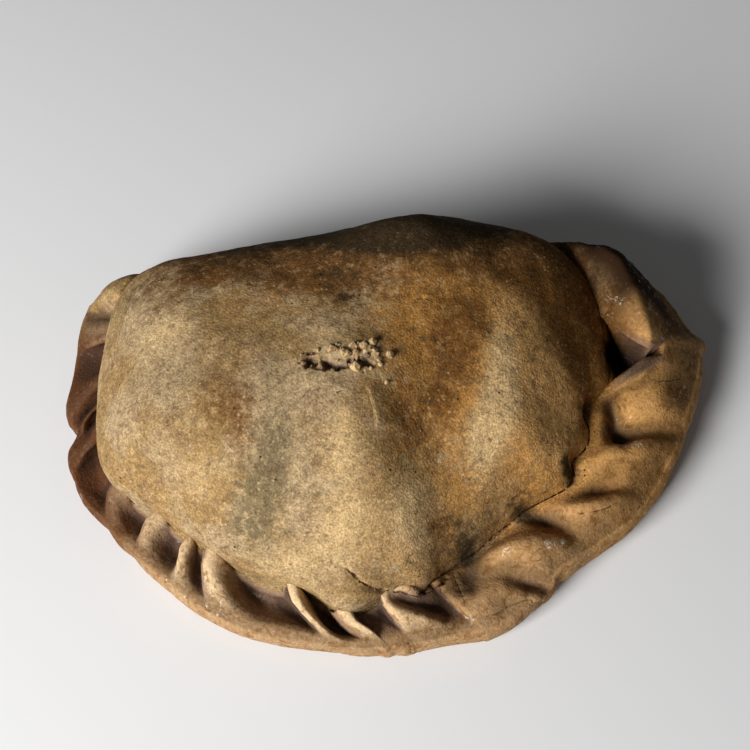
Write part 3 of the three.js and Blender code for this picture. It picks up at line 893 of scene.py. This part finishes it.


# Colours of the crust and its crumbs. The near-black and the darkest browns also serve as painted shade, and
# the glint colour is a painted highlight.
STRAW = (0.355, 0.250, 0.135)
DUN = (0.14, 0.084, 0.042)
OCHRE = (0.28, 0.172, 0.068)
ROSE = (0.235, 0.148, 0.080)
AMBER = (0.41, 0.188, 0.042)
BROWN = (0.155, 0.065, 0.016)
GREY_OLIVE = (0.15, 0.115, 0.060)
SOOT_AND_SHADE = (0.034, 0.024, 0.013)
UMBER = (0.03, 0.015, 0.007)
CREAM = (0.58, 0.400, 0.195)
PALE = (0.64, 0.49, 0.27)
GOLD = (0.59, 0.333, 0.120)
TAN = (0.43, 0.305, 0.175)
RUSSET = (0.27, 0.172, 0.120)
CHESTNUT = (0.10, 0.038, 0.016)
BURNT_AND_SHADE = (0.045, 0.026, 0.018)
SHADE_BLACK = (0.005, 0.003, 0.002)
GLINT = (0.88, 0.80, 0.66)


def body_colour(paint):
    """Baked dough of the dome: mottled straw, amber, brown and grey, with grain, flecks and pores."""
    broad = paint.noise(15, 3, 0.55)
    middle = paint.noise(6, 4, 0.6)
    small = paint.noise(2.4, 4, 0.65)
    uneven = paint.math("MULTIPLY", paint.math("SUBTRACT", small, 0.5), 1.1)
    uneven = paint.math("ADD", uneven, paint.math("MULTIPLY", paint.math("SUBTRACT", middle, 0.5), 0.8))
    colour = paint.mix(paint.ramp(broad, 0.4, 0.6), OCHRE, STRAW)
    colour = paint.mix(paint.ramp(middle, 0.48, 0.7, 0, 0.7), colour, ROSE)
    for name, tint, strength in (
        ("amber", AMBER, 0.9), ("golden", GOLD, 0.85), ("pale", CREAM, 0.85), ("grey", GREY_OLIVE, 0.85),
        ("brown", BROWN, 0.9),
    ):
        share = paint.ramp(paint.math("ADD", paint.mask(name), uneven), 0.1, 0.95, 0, strength)
        colour = paint.mix(share, colour, tint)
    colour = paint.mix(paint.ramp(small, 0.5, 0.72, 0, 0.65), colour, DUN)
    lightness = paint.ramp(paint.mask("amber"), 0, 1, 0.32, 0.2)
    colour = paint.mix(paint.math("MULTIPLY", paint.ramp(small, 0.48, 0.3), lightness), colour, CREAM)
    # The darkest crust, partly painted shade at the back of the dome.
    sooty_and_shaded = paint.ramp(paint.math("ADD", paint.mask("soot_and_shade"), uneven), 0.1, 0.9, 0, 0.92)
    colour = paint.mix(sooty_and_shaded, colour, SOOT_AND_SHADE)
    speckle = paint.noise(1.3, 3, 0.7)
    colour = paint.brightness(colour, paint.ramp(speckle, 0.3, 0.7, 0.78, 1.24))
    grain = paint.noise(0.5, 3, 0.75)
    colour = paint.brightness(colour, paint.ramp(grain, 0.28, 0.72, 0.62, 1.4))
    fleck, chance = paint.dots(1.1)
    flecks = paint.math("MULTIPLY", paint.ramp(fleck, 0.36, 0.1), paint.ramp(chance, 0.45, 0.95))
    flecks = paint.math("MULTIPLY", flecks, paint.ramp(middle, 0.4, 0.62, 0.25, 1))
    colour = paint.mix(paint.math("MULTIPLY", flecks, paint.ramp(sooty_and_shaded, 0, 1, 0.65, 0.2)), colour, PALE)
    pore, chance = paint.dots(3.1)
    pores = paint.math("MULTIPLY", paint.ramp(pore, 0.12, 0.05), paint.ramp(chance, 0.75, 0.77))
    return paint.mix(pores, colour, UMBER)


def fold_colour(paint):
    """The crimp: golden ridges with brown veins and bright flecks painted as highlights, red-brown scoops
    and darker creases; crests lightened and hollows, deep scoops and lip undersides darkened as painted
    light and shade.
    """
    mottle = paint.noise(5, 4, 0.6)
    veins = paint.noise(2.6, 4, 0.65, 0.8)
    raised = paint.math("ADD", paint.mask("ridge"), paint.math("MULTIPLY", mottle, 0.5))
    crest = paint.mix(paint.mask("amber"), TAN, GOLD)
    colour = paint.mix(paint.ramp(raised, 0.15, 0.9), paint.mix(0.6, crest, BROWN), crest)
    colour = paint.mix(paint.ramp(veins, 0.48, 0.66, 0, 0.7), colour, BROWN)
    # Lighter on the crests and darker in the hollows: partly crust colour, partly painted light and shade.
    colour = paint.brightness(colour, paint.ramp(paint.mask("hollow"), 0.5, 0.2, 0.92, 1.45))
    # Scoops turn russet with depth: partly crust colour, partly painted shade.
    colour = paint.mix(paint.ramp(paint.mask("scoop"), 0.04, 0.5, 0, 0.9), colour, RUSSET)
    colour = paint.mix(paint.math("MULTIPLY", paint.mask("brown"), 0.75), colour, BROWN)
    colour = paint.mix(paint.math("MULTIPLY", paint.mask("left"), 0.95), colour, CHESTNUT)
    # The deepest scoops and the undersides of rolled lips are painted near-black as shade.
    colour = paint.mix(paint.ramp(paint.mask("scoop"), 0.9, 1, 0, 0.9), colour, BURNT_AND_SHADE)
    # The darkest crust of the crimp, partly painted shade in its pressed creases.
    colour = paint.mix(paint.math("MULTIPLY", paint.mask("soot_and_shade"), 0.85), colour, BURNT_AND_SHADE)
    grain = paint.noise(0.8, 3, 0.6)
    colour = paint.brightness(colour, paint.ramp(grain, 0.25, 0.75, 0.8, 1.2))
    # The folded right end is darkened: damp-looking crust, partly painted shade.
    colour = paint.mix(paint.mask("wet"), colour, UMBER)
    # Bright flecks on the crimp painted as highlights.
    glints = paint.math("ADD", paint.noise(1.3, 3, 0.5, 1.2), paint.mask("painted_glints"))
    return paint.mix(paint.ramp(glints, 1.5, 1.62, 0, 0.5), colour, GLINT)


def dark_lines(paint):
    """Share of the surface that is open crack: the drawn cracks and the cracked seam, both broken up."""
    broken = paint.ramp(paint.noise(1.2, 3, 0.6), 0.35, 0.55)
    crack = paint.ramp(paint.math("ABSOLUTE", paint.mask("crack_offset")), 1, 0.3)
    crack = paint.math("MULTIPLY", crack, paint.mask("crack_open"))
    gap = paint.math("ADD", paint.mask("seam_gap"), paint.math("MULTIPLY", paint.noise(1.5, 3), 0.5))
    seam = paint.math("MULTIPLY", paint.ramp(gap, 0.75, 0.35), paint.mask("seam_open"))
    return paint.math("MULTIPLY", paint.math("MAXIMUM", crack, seam), broken)


def crust_material():
    paint = Paint("crust")
    fold = paint.mask("fold")
    lines = dark_lines(paint)
    colour = paint.mix(paint.ramp(fold, 0.1, 0.9), body_colour(paint), fold_colour(paint))
    # Hollows of the surface are darkened as painted shade.
    colour = paint.mix(paint.ramp(paint.mask("hollow"), 0.58, 0.98, 0, 0.7), colour, BURNT_AND_SHADE)
    colour = paint.mix(paint.math("MULTIPLY", paint.mask("crumbly"), 0.5), colour, PALE)
    colour = paint.mix(paint.math("MULTIPLY", paint.mask("slit"), 0.9), colour, RUSSET)
    colour = paint.mix(lines, colour, UMBER)
    # The open corner under the fold is painted near-black as its shade.
    colour = paint.mix(paint.mask("corner_shade"), colour, SHADE_BLACK)
    colour = paint.mix(paint.math("MULTIPLY", paint.mask("under"), 0.6), colour, BROWN)
    paint.feed(paint.shader.inputs["Base Color"], colour)
    matt = paint.ramp(paint.noise(4, 3), 0.3, 0.7, 0.72, 0.86)
    gloss = paint.math("MULTIPLY", fold, paint.ramp(paint.noise(1.6, 3, 0.6), 0.56, 0.7, 0, 0.55))
    paint.feed(paint.shader.inputs["Roughness"], paint.math("SUBTRACT", matt, gloss))
    paint.feed(paint.shader.inputs["Specular IOR Level"], paint.math("ADD", gloss, 0.02))
    coarse = paint.bump(paint.noise(2.2, 3, 0.6), 0.16)
    fine = paint.bump(paint.noise(0.55, 2, 0.6), 0.16, coarse)
    paint.feed(paint.shader.inputs["Normal"], paint.bump(paint.math("SUBTRACT", 1, lines), 0.3, fine))
    return paint.material


def crumb_material(name, dark, light):
    paint = Paint(name)
    shade = paint.noise(0.9, 2)
    paint.feed(paint.shader.inputs["Base Color"], paint.mix(paint.ramp(shade, 0.35, 0.65), dark, light))
    paint.shader.inputs["Roughness"].default_value = CRUMB_ROUGHNESS
    return paint.material


# The camera looks down on the front of the turnover, at this place of it, from this distance.
AIM = (-3, 17, 14)
ELEVATION = math.radians(60)
LENS = 55
SENSOR = 36
DISTANCE = 286.5
NEAREST = 10


def make_camera(offset):
    data = bpy.data.cameras.new("camera")
    data.lens = LENS
    data.sensor_width = SENSOR
    data.clip_start = NEAREST * MM
    camera = bpy.data.objects.new("camera", data)
    bpy.context.scene.collection.objects.link(camera)
    look = Vector((0, math.cos(ELEVATION), -math.sin(ELEVATION)))
    camera.location = Vector(np.array(AIM) + offset) * MM - look * DISTANCE * MM
    camera.rotation_euler = look.to_track_quat("-Z", "Y").to_euler()
    bpy.context.scene.camera = camera


# The soft key light stands at the front left, and a dim white world fills the shadows. The floor is plain
# and pale. Places and sizes are in metres.
KEY_PLACE = (-0.58, -0.56, 0.44)
KEY_SIZE = 0.4
KEY_WATTS = 12.5
FILL_STRENGTH = 0.06
FILL_COLOUR = (1, 1, 1, 1)
FLOOR_SIZE = 4
FLOOR_COLOUR = (0.9, 0.9, 0.9, 1)
FLOOR_ROUGHNESS = 0.9


def make_light():
    data = bpy.data.lights.new("key", "AREA")
    data.size = KEY_SIZE
    data.energy = KEY_WATTS
    lamp = bpy.data.objects.new("key", data)
    lamp.location = KEY_PLACE
    lamp.rotation_euler = (-Vector(KEY_PLACE)).to_track_quat("-Z", "Y").to_euler()
    bpy.context.scene.collection.objects.link(lamp)


def make_stage():
    bpy.ops.mesh.primitive_plane_add(size=FLOOR_SIZE)
    floor = bpy.context.object
    floor.name = "floor"
    paint = bpy.data.materials.new("floor_paint")
    paint.use_nodes = True
    shader = paint.node_tree.nodes["Principled BSDF"]
    shader.inputs["Base Color"].default_value = FLOOR_COLOUR
    shader.inputs["Roughness"].default_value = FLOOR_ROUGHNESS
    floor.data.materials.append(paint)
    world = bpy.data.worlds.new("studio")
    world.use_nodes = True
    background = world.node_tree.nodes["Background"]
    background.inputs["Strength"].default_value = FILL_STRENGTH
    background.inputs["Color"].default_value = FILL_COLOUR
    bpy.context.scene.world = world
    bpy.context.scene.view_settings.view_transform = "Standard"


crust = make_turnover(crust_material())
pale_crumb = crumb_material("pale_crumb", OCHRE, CREAM)
dark_crumb = crumb_material("dark_crumb", RUSSET, ROSE)
make_crumbs("pale_crumbs", crust, crust.crumbly ** 1.5, PALE_CRUMBS, pale_crumb)
make_crumbs("dark_crumbs", crust, crust.depth, DARK_CRUMBS, dark_crumb)
make_camera(crust.offset)
make_light()
make_stage()
